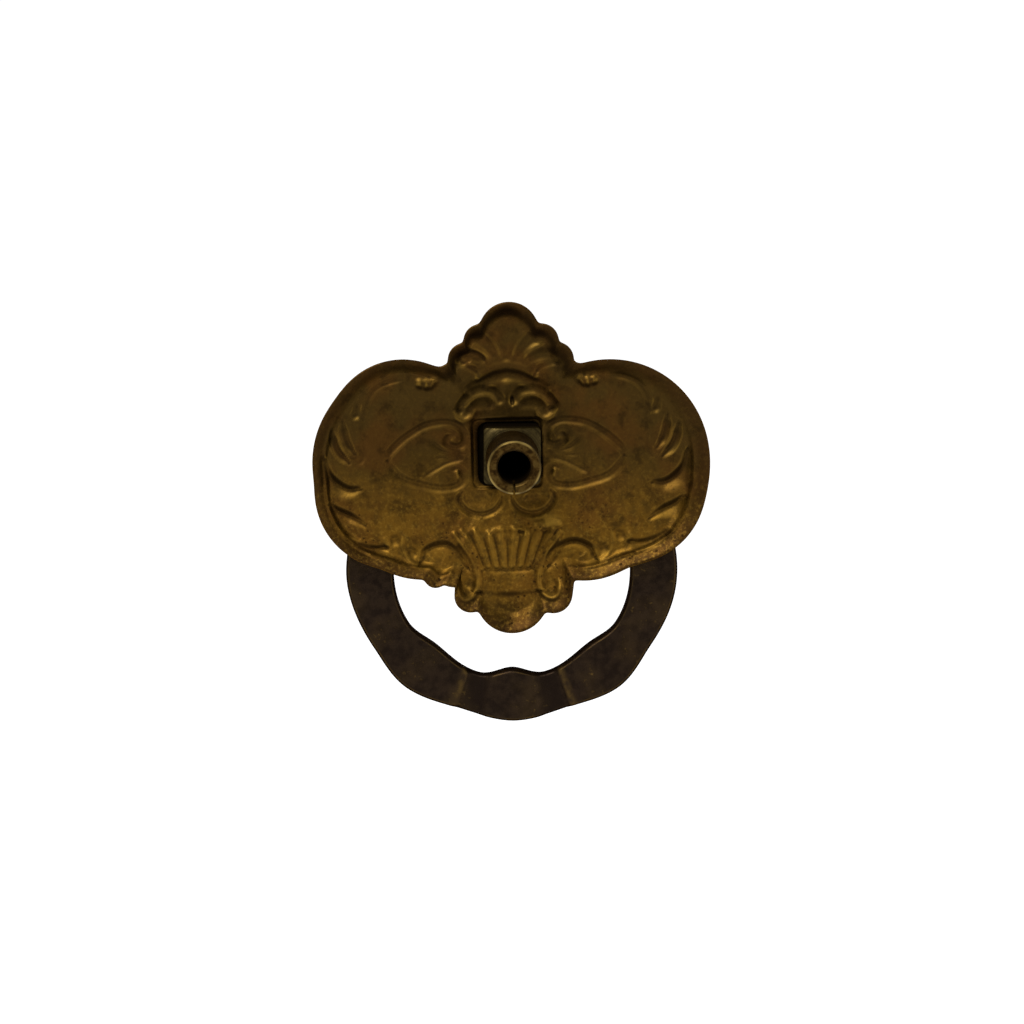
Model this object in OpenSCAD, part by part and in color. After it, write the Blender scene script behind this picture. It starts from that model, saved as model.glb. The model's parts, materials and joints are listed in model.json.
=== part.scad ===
// Drawer pull with a single post: a stamped sheet brass backplate, a square post with a screw hole in
// its tube end, and a lobed bail that swings in the post's eye. Millimetres.
// The origin is the post's axis at the drawer's face. +Z is up and -Y is the front.
// Each piece is drawn on the bench as the photo shows it, from behind: x to the right, y up and z
// towards the drawer. stand() then turns it upright.

/* [Backplate] */
// Width of the plate over its two side lobes
plate_w = 76.3; // [72:0.1:84]
// Height of the plate from the bottom lobe to the crest
plate_h = 64.2; // [60:0.1:72]
// Thickness of the brass sheet
sheet_t = 0.8; // [0.6:0.05:1.2]
// Depth of the dished rim, from the drawer's face to the foot of its wall
rim_depth = 2; // [1.5:0.1:4]
// Width of the rim, from the edge to the foot of its wall
rim_w = 3.4; // [2:0.1:4]
// How far the stamping lies nearer to the left edge than to the right
rim_shift = 0.7; // [0:0.05:0.8]
// Width of the flat edge that bears on the drawer
land_w = 0.6; // [0.3:0.05:0.8]
// How much deeper the middle of the field is than its edge
bowl_depth = 2; // [0:0.1:2.5]
// Depth of the square seat around the post
seat_depth = 0.4; // [0.2:0.05:0.8]
// Width of the seat's ledge beside the pierced hole
seat_ledge = 0.55; // [0.4:0.05:1]
// Corner radius of the pierced hole
hole_r = 1.8; // [0.8:0.1:2.4]
// How strongly the ornament is stamped
relief_scale = 1; // [0.5:0.05:1.3]
// How far the plate sits turned on its post, in degrees
plate_turn = 1.2; // [0:0.1:2]

/* [Post] */
// Width of the square bar
shank_w = 10.9; // [9:0.1:12]
// Radius on the bar's long edges
shank_r = 0.8; // [0.3:0.1:1.2]
// How far the square bar reaches past the drawer's face
square_len = 2.5; // [1:0.1:6]
// How far back the bar's corners are turned down at that end
corner_turn = 1.1; // [0:0.1:2]
// Outer diameter of the turned tube end
tube_d = 10.2; // [8.6:0.1:10.8]
// Length from the drawer's face to the tube's end
post_len = 17; // [14:0.5:30]
// Diameter of the screw hole
screw_d = 6.3; // [4:0.1:7]
// How far the screw hole reaches in front of the drawer's face
screw_tip = 1; // [0:0.1:2.5]
// Chamfer at the screw hole's mouth
mouth_bevel = 0.45; // [0.2:0.05:0.6]
// Chamfer round the tube's end
tube_bevel = 0.3; // [0.1:0.05:0.5]
// Width of the slit in the tube's wall
slit_w = 0.4; // [0.2:0.05:0.8]
// Length of the slit from the tube's end
slit_len = 6; // [2:0.5:10]

/* [Head] */
// Width of the post's head between the bail's two ends
head_w = 14.4; // [13.8:0.1:16]
// Thickness of the flange that bears on the plate
flange_t = 1.4; // [1:0.1:2]
// How far the flange reaches past the plate's hole on each side
flange_lap = 1.1; // [0.9:0.1:1.6]
// Outer diameter of the eye that carries the bail
eye_d = 8.6; // [7.6:0.1:9.6]
// Distance from the plate's seat to the bail's pivot
pivot_gap = 4.2; // [4:0.1:6]
// Diameter of the round button on the front of the head
button_d = 11; // [9:0.1:12.5]
// Height of the button's dome
button_h = 2.4; // [1.5:0.1:3.5]
// Width of the flat step around the dome
dome_step = 0.8; // [0.4:0.1:1.2]
// Height of that step over the eye
step_h = 0.3; // [0.1:0.1:1]

/* [Bail] */
// Width of the bail's ring, to the middle of its bar
ring_w = 55.1; // [50:0.1:62]
// Height of the bail's ring, to the middle of its bar
ring_h = 50; // [44:0.5:56]
// Half width of the bar at its bottom lobe
bottom_lobe = 5.2; // [4.4:0.05:5.5]
// Half width of the bar at its slanting lobes
corner_lobe = 5.1; // [4.2:0.05:5.5]
// Half width of the bar at its side lobes
side_lobe = 4.6; // [4:0.05:5.2]
// Half width of the bar at the waists beside its bottom lobe
waist = 3.65; // [3:0.05:3.9]
// How much wider the bar's other waists are, to each side
waist_rise = 0.5; // [0:0.05:0.6]
// How far the middle of the bar sways from its ring, out at a waist and in at a lobe
sway = 0.25; // [0:0.05:0.5]
// Half width of the bar at its two ends
end_half = 3; // [2.9:0.05:3.3]
// Thickness of the bar at a lobe
bail_t = 5.5; // [4.6:0.1:6]
// Thickness of the bar at a waist
waist_t = 4.4; // [3.8:0.1:4.6]
// Bevel along the edges of the bar's front
bail_bevel = 1.65; // [0.9:0.05:1.9]
// Bevel along the edges of its back
back_bevel = 0.45; // [0.2:0.05:0.8]
// Diameter of the pintles that turn in the eye
pintle_d = 4.2; // [3.2:0.1:4.4]
// How far each pintle reaches into the head
pintle_len = 4.6; // [3:0.1:6]

/* [Fits] */
// Clearance all round between the post's bar and the plate's hole, at the middle of its play
hole_play = 0.65; // [0.5:0.05:0.9]
// How far the plate has dropped and slid on the bar, within that play
plate_drop = 0.35; // [0:0.05:0.35]
// Clearance on the radius of a pintle in its eye
pintle_clear = 0.07; // [0.03:0.01:0.1]
// Gap between the head and each end of the bail, at the middle of its end play
end_gap = 0.4; // [0.3:0.05:0.6]
// How far the bail has slid along its pivot, within that play
bail_slide = 0.25; // [0:0.05:0.3]

/* [Hidden] */
$fn = 64;

// Depths of the plate, all in front of the drawer's face
field_depth = rim_depth + bowl_depth;
plate_back_z = -(field_depth + seat_depth);
seat_z = plate_back_z - sheet_t;
pivot_z = seat_z - pivot_gap;

// Plan of the plate
hole_w = shank_w + 2 * hole_play;
seat_w = hole_w + 2 * seat_ledge;
// Where the middle of the stamping lies from the post's axis
plate_at = [-0.64, 0];
hole_at = [-plate_drop, -plate_drop] - plate_at;
seat_at = [-0.26, -0.25];

// The plate's edge is a blend of these circles: across, up, radius
edge_circles = [
    // crest
    [0.55, 23.6, 5.75], [-5.1, 22.1, 3.05], [-8.1, 18.5, 3.15], [6.8, 21.8, 3.25], [9.8, 18.3, 3.05],
    [0.4, 13.4, 10.5], [-11, 15.6, 2.1], [-13.3, 13.9, 3], [12.3, 15.2, 2.35],
    // side lobes
    [-20.2, 4.5, 14.3], [-19.3, -1, 18.4], [-22.5, -6.7, 14.9], [-17, -9.4, 14.4],
    [19.4, -1.2, 19.1], [19.1, -3.2, 19.4], [23.6, -7.4, 14], [14.4, -10.2, 14.6],
    // bottom
    [-14.6, -23.4, 2.1], [-11.4, -23.2, 2.2], [0.4, -16.5, 12], [-7.9, -27.3, 3.15],
    [0.1, -27.7, 7], [8.1, -27.4, 3.6], [8.6, -25.2, 3.4]
];
edge_blend = 0.35;

// The ornament, as strokes on the right half. Each is a height towards the drawer, then its points:
// across, up, half width. A stroke below zero is sunk from behind and stands proud at the front.
strokes = [
    // leaf panels beside the post: their dish, their outlines and their veins
    [-0.2, [9, 0, 3.5], [12, 0, 5.2], [16, -0.5, 4.3], [20, -1, 2.2], [22, -1.3, 0.8]],
    [-0.25, [22.7, -1.2, 0.9], [20.3, 2.5, 0.9], [16.5, 5, 0.9], [13, 5.95, 0.9], [9.8, 5.6, 0.9],
        [8.1, 3.9, 0.9], [8.1, 1.9, 0.9], [9.8, 1.2, 0.8], [11.2, 2.4, 0.8]],
    [-0.25, [22.7, -1.2, 0.9], [20.3, -4.5, 0.9], [16.5, -6, 0.9], [12.5, -6.8, 0.9], [9.4, -6.4, 0.9],
        [8.2, -4.7, 0.9], [9.1, -2.9, 0.8]],
    [-0.18, [14.6, 2.5, 0.6], [12.8, 0.9, 0.7], [7.8, -0.2, 0.8]],
    [-0.18, [15.9, -4.3, 0.6], [12.8, -2.5, 0.7], [8.5, -1.3, 0.8]],
    // scrolls and heart above the post
    [-0.3, [1.7, 10.6, 0.9], [2.7, 11.8, 0.9], [5, 12.1, 0.9], [7.2, 11.3, 0.9], [8.8, 9.3, 0.9]],
    [-0.25, [3.2, 9.3, 1], [5.2, 9.5, 1.4], [7, 8.8, 1.1]],
    [-0.25, [7.5, 7.6, 1.4], [8.4, 7.6, 1.4]],
    [0.22, [0, 13.2, 1.5], [0.2, 11.2, 0.8]],
    // arch, sunk band and leaves under the crest
    [-0.15, [0, 17.2, 1], [2.6, 16.8, 1], [4.6, 15.9, 1]],
    [0.2, [0, 16.2, 0.7], [3.6, 15.2, 0.7], [5.9, 14.3, 0.7]],
    [-0.3, [0, 14.9, 1.2], [2.5, 14.5, 1.3], [4.5, 13.6, 1.4], [7, 12.7, 1.2]],
    [-0.2, [5.5, 15, 0.8], [7.4, 16.9, 0.8], [9, 17.2, 0.8]],
    // flutes of the crest and the ribs between them
    [-0.6, [0, 18.8, 0.9], [0, 21, 1.5], [0, 23.5, 2.4], [0.1, 25.3, 2.3]],
    [-0.55, [2.4, 19, 0.7], [3.6, 20.4, 1.1], [5, 21.6, 1.5], [6.5, 22.9, 1.3]],
    [-0.5, [4.6, 17.8, 0.8], [6.4, 18.8, 1.2], [8, 19, 1.4], [9.3, 18.8, 1]],
    [0.3, [1.2, 18.6, 0.7], [2.6, 21.5, 0.8], [4.7, 24, 0.8]],
    [0.3, [3.4, 17.9, 0.7], [5.4, 20.3, 0.8], [8.8, 21.3, 0.8]],
    // ovals under the post
    [-0.35, [3.2, -9.8, 1.5], [5, -10, 2], [6.9, -9.6, 1.6]],
    [-0.22, [1, -9, 0.8], [2.2, -11.2, 0.8], [5, -12, 0.8], [7.8, -11.2, 0.8], [9.2, -9, 0.8],
        [8.4, -7.4, 0.8]],
    // shell of upright flutes
    [0.3, [0.9, -16.4, 0.8], [0.6, -21.8, 0.8]],
    [0.3, [3, -16.2, 0.8], [2.2, -21.9, 0.7]],
    [0.3, [5.2, -16.2, 0.8], [3.9, -21.9, 0.7]],
    [0.3, [7.4, -16, 0.8], [5.6, -21.6, 0.7]],
    [-0.35, [8.6, -15.8, 1], [7, -19, 0.9], [6, -21.8, 0.7]],
    [0.3, [10, -15.4, 0.8], [7.8, -18.8, 0.8], [6.3, -22.4, 0.8], [6, -25, 0.8], [7, -27.3, 0.8],
        [9, -27.6, 0.8], [9.8, -25.5, 0.8]],
    // pads beside the shell, band and bottom lobe
    [-0.6, [9.2, -21.2, 1.4], [11, -20.2, 2], [13.5, -19.9, 2.2], [15.6, -20.6, 1.8]],
    [-0.2, [0, -27.4, 0.8], [5, -27, 0.8]],
    [-0.45, [0, -30, 4], [0.1, -30.1, 4]],
    // acanthus leaves along the sides
    [-0.6, [35, -3.5, 1.3], [34.2, -6, 2], [32.3, -7.3, 1.5], [30, -7.4, 1], [28.3, -6.8, 0.6]],
    [-0.55, [34, -11, 1.2], [32, -12.4, 1.6], [29.8, -13.6, 1.4], [26.3, -14.6, 0.6]],
    [-0.5, [30.5, -16.4, 1], [28, -18, 1.2], [25, -18.9, 1.1], [22.5, -19.2, 0.8]],
    [-0.5, [33.3, 6.5, 1], [32.8, 4, 1.2], [32.2, 2, 1.1], [31.2, 0.4, 0.7]],
    [-0.5, [34.8, 2, 0.9], [34, -0.3, 1.1], [32.6, -2, 1], [31, -3.2, 0.7]],
    [-0.4, [30.6, 8, 1], [30, 5.5, 1], [29.3, 3.4, 0.8], [28.6, 1.6, 0.6]],
    [-0.2, [20, 14.6, 0.8], [25, 13.1, 0.9], [27.4, 9.8, 0.9], [27.6, 7.4, 0.8], [28.9, 9.4, 0.8]],
    // corner flowers and leaf clumps
    [0.25, [16.8, 13.9, 1], [15, 13.3, 1], [14, 14.4, 0.8]],
    [-0.35, [21.7, -16.4, 1.2], [18.3, -18.7, 1.2]]
];
// The stamping's axis of symmetry lies to the left of the seat's, apart from the crest's
axis_x = -0.5;
axis_from = 7;
axis_to = 10;
stroke_boxes = [for (s = strokes)
    let (p = [for (k = [1:len(s) - 1]) s[k]])
    [min([for (q = p) q[0] - q[2]]), min([for (q = p) q[1] - q[2]]),
     max([for (q = p) q[0] + q[2]]), max([for (q = p) q[1] + q[2]])]];

// Grid of the plate: rays from the seat's middle, half as many near the post as at the edge
spokes = 128;
// Crowds the rays towards the crest and the bottom, and keeps one on each corner of the square seat
spoke_warp = 5.734;
fine_ring = 9;
field_rings = 20;
seat_step = 0.15;
// Halvings in the search for an outline along a ray
search_steps = 18;

function sum(v) = v * [for (x = v) 1];
function smooth(t) = let (c = max(0, min(1, t))) c * c * (3 - 2 * c);
function mix(a, b, t) = a + (b - a) * t;
function turned(p, a) = [p.x * cos(a) - p.y * sin(a), p.x * sin(a) + p.y * cos(a)];

// Distance inside the blended edge, and the edge's radius along a ray
function inside(p) =
    let (d = [for (c = edge_circles) c[2] - norm([p.x - c[0], p.y - c[1]])], m = max(d))
    m + edge_blend * ln(sum([for (x = d) exp((x - m) / edge_blend)]));
function edge_reach(a, lo = 12, hi = 48, n = search_steps) =
    let (r = (lo + hi) / 2)
    n == 0 ? r :
    inside(seat_at + r * [cos(a), sin(a)]) > 0 ? edge_reach(a, r, hi, n - 1) : edge_reach(a, lo, r, n - 1);

function spoke_angle(i) = let (a = 360 * i / spokes) a + spoke_warp * sin(2 * a);
drawn_edge = [for (i = [0:spokes - 1])
    let (a = spoke_angle(i))
    seat_at + edge_reach(a) * [cos(a), sin(a)]];
drawn_min = [min([for (p = drawn_edge) p.x]), min([for (p = drawn_edge) p.y])];
drawn_max = [max([for (p = drawn_edge) p.x]), max([for (p = drawn_edge) p.y])];
plan_scale = [plate_w / (drawn_max.x - drawn_min.x), plate_h / (drawn_max.y - drawn_min.y)];
edge = [for (p = drawn_edge) [p.x * plan_scale.x, p.y * plan_scale.y]];

// The foot of the rim's wall, as a share of each ray, evened out where the edge is notched
function edge_normal(i) =
    let (t = edge[(i + 1) % spokes] - edge[(i + spokes - 1) % spokes]) [t.y, -t.x] / norm(t);
foot_raw = [for (i = [0:spokes - 1])
    let (n = edge_normal(i), ray = edge[i] - seat_at, r = norm(ray), w = rim_w + rim_shift * n.x)
    1 - w / max(0.55, n * ray / r) / r];
foot = [for (i = [0:spokes - 1])
    sum([for (k = [-2:2]) foot_raw[(i + k + spokes) % spokes]]) / 5];

// Reach of a rounded square's edge along a ray: half width h, corner radius r, middle at c
function square_gap(p, h, r) =
    let (q = [abs(p.x) - h + r, abs(p.y) - h + r])
    norm([max(q.x, 0), max(q.y, 0)]) + min(max(q.x, q.y), 0) - r;
function square_reach(a, c, h, r, lo = 2, hi = 14, n = search_steps) =
    let (m = (lo + hi) / 2)
    n == 0 ? m :
    square_gap(seat_at + m * [cos(a), sin(a)] - c, h, r) < 0 ?
        square_reach(a, c, h, r, m, hi, n - 1) : square_reach(a, c, h, r, lo, m, n - 1);

// Height of the ornament at a point of the plan
function bump(t) = t >= 1 ? 0 : (1 - t * t) * (1 - t * t);
function taper_gap(p, a, b) =
    let (ab = [b[0] - a[0], b[1] - a[1]], ap = [p.x - a[0], p.y - a[1]],
         s = max(0, min(1, (ap * ab) / (ab * ab))))
    norm(ap - s * ab) / mix(a[2], b[2], s);
function relief(p) =
    let (y = p.y / plan_scale.y, axis = axis_x * (1 - smooth((y - axis_from) / (axis_to - axis_from))),
         q = [abs(p.x / plan_scale.x - axis), y])
    relief_scale * sum([0, for (k = [0:len(strokes) - 1])
        let (b = stroke_boxes[k], s = strokes[k])
        if (q.x > b[0] && q.x < b[2] && q.y > b[1] && q.y < b[3])
            s[0] * bump(min([for (j = [1:len(s) - 2]) taper_gap(q, s[j], s[j + 1])]))]);

// Height of the field and its bowl at a share t of the way from the seat to the rim's foot
function field_z(t) = -rim_depth - bowl_depth * (1 - smooth(t));

// One ray's points on the back of the sheet, from the hole to the edge: [x, y, z]
function ray_points(i) =
    let (a = spoke_angle(i), dir = [cos(a), sin(a)],
         hole = square_reach(a, hole_at, hole_w / 2, hole_r), seat = square_reach(a, seat_at, seat_w / 2, 0),
         reach = norm(edge[i] - seat_at), out = (edge[i] - seat_at) / reach,
         foot_at = reach * foot[i], land_at = reach - min(land_w, 0.4 * (reach - foot_at)),
         first = seat_at + (seat + seat_step) * dir, last = seat_at + foot_at * out)
    concat(
        [for (r = [hole, seat - seat_step]) concat(seat_at + r * dir, plate_back_z)],
        [for (k = [0:field_rings])
            let (t = k / field_rings, p = mix(first, last, t)) concat(p, field_z(t) + relief(p))],
        [for (t = [0.25, 0.5, 0.75, 1])
            let (p = seat_at + mix(foot_at, land_at, t) * out, fade = 1 - smooth(t))
            concat(p, -rim_depth * (1 - t) + relief(p) * fade)],
        [concat(edge[i], 0)]);

rings = field_rings + 8;
plate_rays = [for (i = [0:spokes - 1]) ray_points(i)];
function ring_count(r) = r < fine_ring ? spokes / 2 : spokes;
function ring_start(r) = r < fine_ring ? r * spokes / 2 : fine_ring * spokes / 2 + (r - fine_ring) * spokes;
function at(r, i) = ring_start(r) + i % ring_count(r);
back_points = [for (r = [0:rings - 1]) for (i = [0:ring_count(r) - 1])
    plate_rays[r < fine_ring ? 2 * i : i][r]];
sheet_points = len(back_points);
front_points = [for (p = back_points) p - [0, 0, sheet_t]];

// Triangles of the back between one ring and the next
function ring_faces(r) =
    ring_count(r) == ring_count(r + 1) ?
        [for (i = [0:ring_count(r) - 1]) each [
            [at(r, i), at(r + 1, i + 1), at(r + 1, i)],
            [at(r, i), at(r, i + 1), at(r + 1, i + 1)]]] :
        [for (i = [0:ring_count(r) - 1]) each [
            [at(r, i), at(r + 1, 2 * i + 1), at(r + 1, 2 * i)],
            [at(r, i), at(r, i + 1), at(r + 1, 2 * i + 1)],
            [at(r, i + 1), at(r + 1, 2 * i + 2), at(r + 1, 2 * i + 1)]]];
back_faces = [for (r = [0:rings - 2]) each ring_faces(r)];
front_faces = [for (f = back_faces) [f[2], f[1], f[0]] + sheet_points * [1, 1, 1]];
hole_faces = [for (i = [0:ring_count(0) - 1]) each [
    [at(0, i + 1), at(0, i), at(0, i) + sheet_points],
    [at(0, i + 1), at(0, i) + sheet_points, at(0, i + 1) + sheet_points]]];
edge_faces = [for (i = [0:spokes - 1]) each [
    [at(rings - 1, i), at(rings - 1, i + 1), at(rings - 1, i) + sheet_points],
    [at(rings - 1, i + 1), at(rings - 1, i + 1) + sheet_points, at(rings - 1, i) + sheet_points]]];

// The bail's ring, as an ellipse whose two ends lie on the pivot, beside the head. Angles run from its
// bottom.
end_x = head_w / 2 + end_gap + end_half * 0.3;
end_angle = 180 - asin(end_x / (ring_w / 2));
ring_drop = -ring_h / 2 * cos(end_angle);
ring_stations = 96;
// How far the turned cone's small end stands out from the middle of the bar's flats
turn_rim = 0.15;
// How far each pintle is drawn into the bar that it is one piece with
pintle_root = 2.5;
// How much wider the bar is at the inner notch beside the bottom lobe than its waist there is drawn
notch_rise = 0.2;
// The bar at its lobes and waists: angle, half width, thickness, distance of its middle out from the ring
bar_knots = [
    [0, bottom_lobe, bail_t, -sway], [14, waist + notch_rise, waist_t, 2 * sway],
    [20, waist + notch_rise / 2, waist_t, sway / 2], [40, corner_lobe, bail_t, -sway / 2],
    [60, waist + waist_rise, waist_t, -sway / 2], [90, side_lobe, bail_t, 0],
    [121, waist + waist_rise, waist_t, 0], [139, corner_lobe - waist_rise, bail_t, 0],
    [156, end_half + 0.3, waist_t, 0], [181, end_half, waist_t, 0]
];
function bar_at(a, k = 0) =
    abs(a) <= bar_knots[k + 1][0] || k == len(bar_knots) - 2 ?
        let (p = bar_knots[k], q = bar_knots[k + 1]) mix(p, q, smooth((abs(a) - p[0]) / (q[0] - p[0]))) :
        bar_at(a, k + 1);
function ring_point(a) = [ring_w / 2 * sin(a), -ring_drop - ring_h / 2 * cos(a)];
// The bar's section: the back is flat, the front's bevel is broader
function bar_section(w, t) =
    let (b = back_bevel, f = bail_bevel, h = t / 2)
    [[w, h - 1.2 * b], [w - b, h], [b - w, h], [-w, h - 1.2 * b],
     [-w, -0.3 * h], [f - w, -h], [w - f, -h], [w, -0.3 * h]];
bar_sides = len(bar_section(1, 1));
bail_points = [for (k = [0:ring_stations])
    let (a = mix(-end_angle, end_angle, k / ring_stations), c = ring_point(a), bar = bar_at(a),
         tangent = [ring_w * cos(a), ring_h * sin(a)], out = [tangent.y, -tangent.x] / norm(tangent))
    for (s = bar_section(bar[1], bar[2])) let (q = c + (s[0] + bar[3]) * out) [q.x, q.y, pivot_z + s[1]]];
bail_faces = concat(
    [for (k = [0:ring_stations - 1]) for (j = [0:bar_sides - 1])
        let (m = (j + 1) % bar_sides, a = k * bar_sides, b = a + bar_sides)
        each [[a + j, b + m, b + j], [a + j, a + m, b + m]]],
    [for (j = [1:bar_sides - 2]) [0, j + 1, j]],
    [for (j = [1:bar_sides - 2]) ring_stations * bar_sides * [1, 1, 1] + [0, j, j + 1]]);

module stand() { rotate([90, 0, 180]) children(); }

module backplate() {
    color("darkgoldenrod") stand()
        translate([plate_at.x, plate_at.y, 0]) rotate([0, 0, plate_turn])
            polyhedron(
                points = concat(back_points, front_points),
                faces = concat(hole_faces, back_faces, front_faces, edge_faces),
                convexity = 6);
}

// The square bar, with its long edges rounded
module bar_plan(w, r) {
    square([w - 2 * r, w], center = true);
    square([w, w - 2 * r], center = true);
    for (x = [-1, 1], y = [-1, 1]) translate([x, y] * (w / 2 - r)) circle(r);
}

// The square bar from the flange to its end, whose corners the lathe has turned down to a cone
module bar() {
    start = seat_z - flange_t;
    corner = shank_w * sqrt(2) / 2;
    end_rim = shank_w / 2 + turn_rim;
    intersection() {
        translate([0, 0, start]) linear_extrude(square_len - start) bar_plan(shank_w, shank_r);
        rotate_extrude() polygon([
            [0, start - 1], [corner, start - 1], [corner, square_len - corner_turn],
            [end_rim, square_len], [end_rim, square_len + 1], [0, square_len + 1]]);
    }
}

// The tube turned on the bar's end
module tube() {
    rotate_extrude() polygon([
        [0, 0], [tube_d / 2, 0], [tube_d / 2, post_len - tube_bevel], [tube_d / 2 - tube_bevel, post_len],
        [0, post_len]]);
}

// The drill leaves a cone of 120 degrees at the bottom
module screw_hole() {
    tip = screw_d / 2 * tan(30);
    rotate_extrude() polygon([
        [0, -screw_tip - tip], [screw_d / 2, -screw_tip],
        [screw_d / 2, post_len - mouth_bevel], [screw_d / 2 + mouth_bevel, post_len],
        [screw_d / 2 + mouth_bevel, post_len + 1], [0, post_len + 1]]);
}

// The head in front of the plate: flange, neck, eye and button
module head() {
    flange_w = hole_w + 2 * flange_lap;
    flange_bottom = seat_z - flange_t;
    step_z = eye_d / 2 + step_h;
    dome_w = button_d / 2 - dome_step;
    dome_r = (dome_w ^ 2 + button_h ^ 2) / (2 * button_h);
    translate([-flange_w / 2, -flange_w / 2, flange_bottom]) cube([flange_w, flange_w, flange_t]);
    translate([-head_w / 2, -eye_d / 2, pivot_z]) cube([head_w, eye_d, flange_bottom - pivot_z]);
    translate([-head_w / 2, 0, pivot_z]) rotate([0, 90, 0]) cylinder(d = eye_d, h = head_w);
    translate([0, 0, pivot_z]) rotate([180, 0, 0]) rotate_extrude() {
        square([button_d / 2, step_z]);
        intersection() {
            translate([0, step_z]) square([dome_w, button_h]);
            translate([0, step_z + button_h - dome_r]) circle(dome_r);
        }
    }
}

module post() {
    color("dimgray") stand() difference() {
        union() {
            bar();
            tube();
            head();
        }
        screw_hole();
        translate([-slit_w / 2, -tube_d, post_len - slit_len]) cube([slit_w, tube_d, slit_len + 1]);
        translate([-head_w, 0, pivot_z]) rotate([0, 90, 0])
            cylinder(d = pintle_d + 2 * pintle_clear, h = 2 * head_w);
    }
}

module bail() {
    reach = pintle_len + end_gap + pintle_root;
    color("saddlebrown") stand() translate([bail_slide, 0, 0]) union() {
        polyhedron(points = bail_points, faces = bail_faces, convexity = 6);
        for (side = [0, 1]) mirror([side, 0, 0])
            translate([head_w / 2 - pintle_len, 0, pivot_z]) rotate([0, 90, 0])
                cylinder(d = pintle_d, h = reach);
    }
}

backplate();
post();
bail();
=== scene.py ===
"""An old drawer pull: its stamped brass backplate, its post and its bail, dressed for a render.

Lengths in the functions are millimetres on the bench, as the photo shows the pull from behind: x to the
right, y up and z towards the drawer. upright() turns them into the frame, which is in metres.
"""

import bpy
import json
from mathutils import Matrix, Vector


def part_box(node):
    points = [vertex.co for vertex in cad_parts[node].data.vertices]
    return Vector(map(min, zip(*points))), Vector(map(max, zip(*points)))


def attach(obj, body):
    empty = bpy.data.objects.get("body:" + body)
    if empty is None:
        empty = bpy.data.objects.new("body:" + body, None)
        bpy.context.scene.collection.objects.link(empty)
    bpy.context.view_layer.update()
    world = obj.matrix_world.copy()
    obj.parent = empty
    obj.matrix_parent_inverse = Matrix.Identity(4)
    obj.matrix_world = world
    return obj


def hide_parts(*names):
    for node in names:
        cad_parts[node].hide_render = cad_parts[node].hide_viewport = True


bl_info = {
    "name": "Drawer Pull",
    "version": (1, 0, 0),
    "blender": (4, 5, 0),
    "location": "3D View > Sidebar > Drawer Pull",
    "description": "Builds the looks of an aged brass drawer pull around its packed solids",
    "category": "Object",
}

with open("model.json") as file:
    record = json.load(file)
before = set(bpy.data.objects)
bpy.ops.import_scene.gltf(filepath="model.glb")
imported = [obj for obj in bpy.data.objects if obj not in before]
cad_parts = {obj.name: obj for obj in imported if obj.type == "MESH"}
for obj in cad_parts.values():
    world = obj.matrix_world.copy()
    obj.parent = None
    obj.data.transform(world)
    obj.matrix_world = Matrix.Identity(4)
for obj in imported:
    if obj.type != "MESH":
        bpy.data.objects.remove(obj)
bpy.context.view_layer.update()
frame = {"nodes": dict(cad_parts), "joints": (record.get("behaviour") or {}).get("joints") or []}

import json
import math

import bmesh
import bpy
import numpy as np
from bpy.props import FloatProperty, FloatVectorProperty, PointerProperty
from mathutils import Vector

MM = 0.001
# How far the post's square part reaches past the drawer's face
SQUARE_END = 2.5


def linear(code):
    """A colour written as sRGB hex, in linear light"""
    parts = [int(code[i:i + 2], 16) / 255 for i in (0, 2, 4)]
    return [p / 12.92 if p <= 0.04045 else ((p + 0.055) / 1.055) ** 2.4 for p in parts]


def length(name, default_mm, description):
    """A size that the user can set, given here in millimetres"""
    return FloatProperty(name=name, description=description, default=default_mm * MM, unit="LENGTH",
                         precision=5)


def colour(name, code, description):
    """A colour that the user can set"""
    return FloatVectorProperty(name=name, description=description, default=linear(code), size=3,
                               subtype="COLOR", min=0, max=1)


# Settings

class PlateSettings(bpy.types.PropertyGroup):
    sheet: length("Sheet", 0.8, "Thickness of the brass sheet")
    rim_depth: length("Rim depth", 2.0, "Depth of the dished rim")
    rim_width: length("Rim width", 3.8, "Width of the rim, from the edge to the foot of its wall")
    rim_shift: length("Rim shift", 0.6, "How far the stamping lies nearer to the left edge")
    land: length("Land", 0.4, "Width of the flat edge that bears on the drawer")
    bowl: length("Bowl", 2.0, "How much deeper the field is in its middle")
    seat_depth: length("Seat depth", 0.4, "Depth of the square seat around the post")
    seat_ledge: length("Seat ledge", 0.55, "Width of the seat's ledge beside the hole")
    hole: length("Hole", 12.2, "Width of the pierced square hole")
    hole_corner: length("Hole corner", 1.8, "Corner radius of the hole")
    turn: FloatProperty(name="Turn", description="How far the plate sits turned on its post",
                        default=math.radians(1.2), unit="ROTATION")
    # The upper field keeps the field colour, and the gold on the lower field is partly painted light from
    # above
    field: colour("Field", "2f220c", "Patina of the upper field")
    lit_gold: colour("Gold", "4e360e", "Golden brass of the lower field")
    russet: colour("Russet", "3e240b", "Reddish brown patches of the patina")
    # The worn colour also lays the painted glint and painted light on what faces up
    worn: colour("Worn ridges", "7d5f22", "Brass rubbed bright on the ridges and in specks")
    # The grime colour is also painted shade, in the creases, about the post and on what faces down
    grime_and_shade: colour("Grime", "120b05", "Dirt and oxide in the creases and pits")
    rim: colour("Rim", "261809", "Brown of the rim's wall")


class PostSettings(bpy.types.PropertyGroup):
    bevel: length("Bevel", 0.14, "Rounding that wear gives to the post's edges")
    brass: colour("Brass", "2e2613", "Dulled brass of the bar")
    ring: colour("Ring", "2d1e09", "Brass of the tube and its end")
    # The bright colour is also a painted highlight on the tube's outer edge
    bright: colour("Bright", "7a6636", "Brass rubbed bright on the tube's outer edge")
    # The dark colour is also painted shade, in the gap and in the hole
    dark: colour("Dark", "0b0704", "Oxide in the marks, the gap and the hole")


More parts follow.
